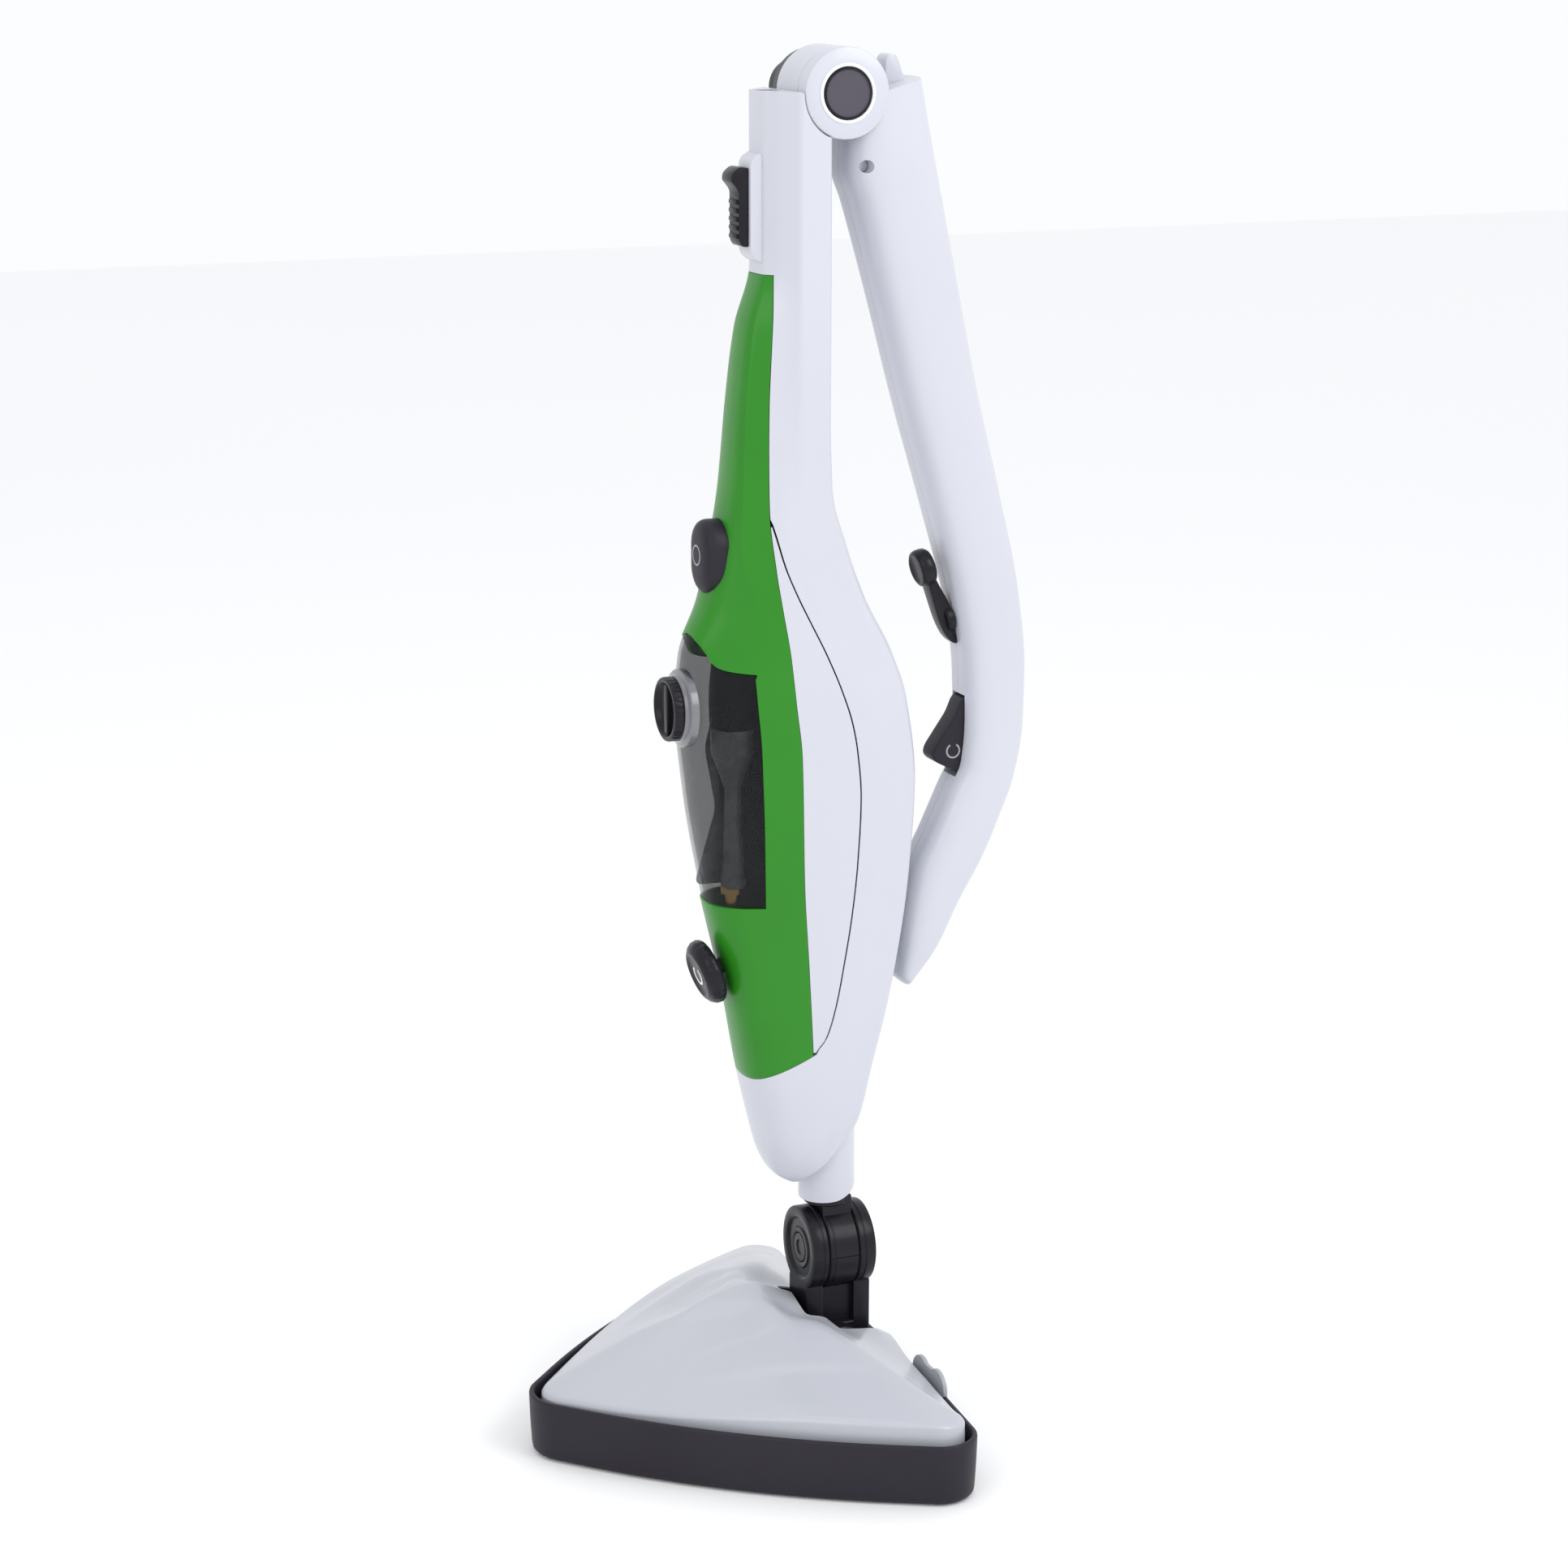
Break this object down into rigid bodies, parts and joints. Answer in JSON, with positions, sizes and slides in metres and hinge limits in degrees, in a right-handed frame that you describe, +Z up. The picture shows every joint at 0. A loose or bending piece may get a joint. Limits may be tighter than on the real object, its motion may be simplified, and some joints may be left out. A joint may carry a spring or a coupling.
{
  "type": "steam mop",
  "caption": "Upright steam mop with a fold-down bow handle, a smoky water tank, a two-axis neck joint and a triangular floor head standing in its carpet glider.",
  "frame": {"origin": "on the floor, under the neck joint, on the middle plane of the mop", "axes": "+X to the right side of the mop, +Y to its back, where the folded handle is, +Z up"},
  "size_m": [0.2838, 0.2758, 0.7224],
  "materials": {
    "white_shell": "glossy white moulded plastic with a cool tint",
    "green_shell": "glossy green moulded plastic",
    "charcoal": "dark charcoal moulded plastic",
    "black_plastic": "near-black moulded plastic",
    "light_grey": "light grey moulded plastic",
    "smoky_clear": "smoky see-through plastic",
    "plate_alloy": "cast and milled aluminium",
    "brass": "machined brass",
    "steel": "zinc-plated steel",
    "seal_rubber": "soft black rubber",
    "hose_rubber": "grey silicone rubber",
    "board": "printed circuit board"
  },
  "bodies": {
    "glider": {"glider_tray": "charcoal"},
    "clip_right": {"glider_clip_right": "light_grey"},
    "clip_left": {"glider_clip_left": "light_grey"},
    "head": {"head_cover": "white_shell", "head_base": "black_plastic", "sole_plate": "plate_alloy", "steam_nozzle": "brass", "head_pin": "steel", "head_screws": "steel"},
    "yoke": {"joint_yoke": "black_plastic", "joint_bolt": "steel"},
    "stick": {"joint_barrel": "black_plastic", "neck_tube": "white_shell", "main_frame": "white_shell", "side_shell_right": "white_shell", "side_shell_left": "white_shell", "front_panel": "green_shell", "water_tank": "smoky_clear", "tank_outlet": "brass", "button_spring": "steel", "button_switch": "black_plastic", "steam_valve": "brass", "boiler": "plate_alloy", "thermostat": "brass", "pump": "black_plastic", "control_board": "board", "suction_hose": "hose_rubber", "feed_hose": "hose_rubber", "steam_pipe": "steel", "cord_gland": "seal_rubber", "slider_spring": "steel", "hub_barrel": "white_shell", "frame_screws": "steel"},
    "power_button": {"power_button": "charcoal"},
    "steam_knob": {"steam_knob": "black_plastic"},
    "filler_cap": {"tank_cap": "black_plastic", "tank_seal": "seal_rubber"},
    "fold_slider": {"release_slider": "black_plastic"},
    "handle": {"handle_right": "white_shell", "handle_left": "white_shell", "fold_tab": "white_shell", "fold_pin": "steel", "pivot_cap_right": "charcoal", "pivot_cap_left": "charcoal", "handle_screws": "steel", "trigger_pin": "steel", "trigger_spring": "steel", "trigger_switch": "black_plastic"},
    "trigger": {"handle_trigger": "charcoal"},
    "hook": {"cord_hook": "black_plastic"}
  },
  "joints": [
    {"name": "head_lift", "type": "slide", "parent": "glider", "child": "head", "axis": [0, 0, 1], "range_m": [0, 0.06]},
    {"name": "clip_right_swing", "type": "hinge", "parent": "glider", "child": "clip_right", "pos_m": [0.063, 0.031, 0.012], "axis": [-1, 0, 0], "range_deg": [0, 40]},
    {"name": "clip_left_swing", "type": "hinge", "parent": "glider", "child": "clip_left", "pos_m": [-0.063, 0.031, 0.012], "axis": [-1, 0, 0], "range_deg": [0, 40]},
    {"name": "neck_tilt", "type": "hinge", "parent": "head", "child": "yoke", "pos_m": [0, 0, 0.041], "axis": [-1, 0, 0], "range_deg": [0, 60]},
    {"name": "neck_roll", "type": "hinge", "parent": "yoke", "child": "stick", "pos_m": [0, 0, 0.093], "axis": [0, 1, 0], "range_deg": [-40, 40]},
    {"name": "fold", "type": "hinge", "parent": "stick", "child": "handle", "pos_m": [0, -0.0025, 0.7], "axis": [1, 0, 0], "range_deg": [0, 168]},
    {"name": "trigger_pull", "type": "hinge", "parent": "handle", "child": "trigger", "pos_m": [0, 0.079, 0.384], "axis": [1, 0, 0], "range_deg": [0, 9], "stiffness_Nm_per_rad": 0.4, "springref_deg": -8.59, "deforming": ["trigger_spring"]},
    {"name": "hook_turn", "type": "hinge", "parent": "handle", "child": "hook", "pos_m": [0, 0.0676, 0.43], "axis": [0, -0.9703, -0.2419], "range_deg": [0, 180]},
    {"name": "button_press", "type": "slide", "parent": "stick", "child": "power_button", "axis": [0, 1, 0], "range_m": [0, 0.0025], "stiffness_N_per_m": 600, "springref_m": -0.003, "deforming": ["button_spring"]},
    {"name": "knob_turn", "type": "hinge", "parent": "stick", "child": "steam_knob", "pos_m": [0, -0.063, 0.255], "axis": [0, -0.9511, -0.309], "range_deg": [0, 120]},
    {"name": "cap_pull", "type": "slide", "parent": "stick", "child": "filler_cap", "axis": [0, -1, 0], "range_m": [0, 0.03]},
    {"name": "slider_pull", "type": "slide", "parent": "stick", "child": "fold_slider", "axis": [0, 0, -1], "range_m": [0, 0.006], "stiffness_N_per_m": 500, "springref_m": -0.004, "deforming": ["slider_spring"]}
  ]
}
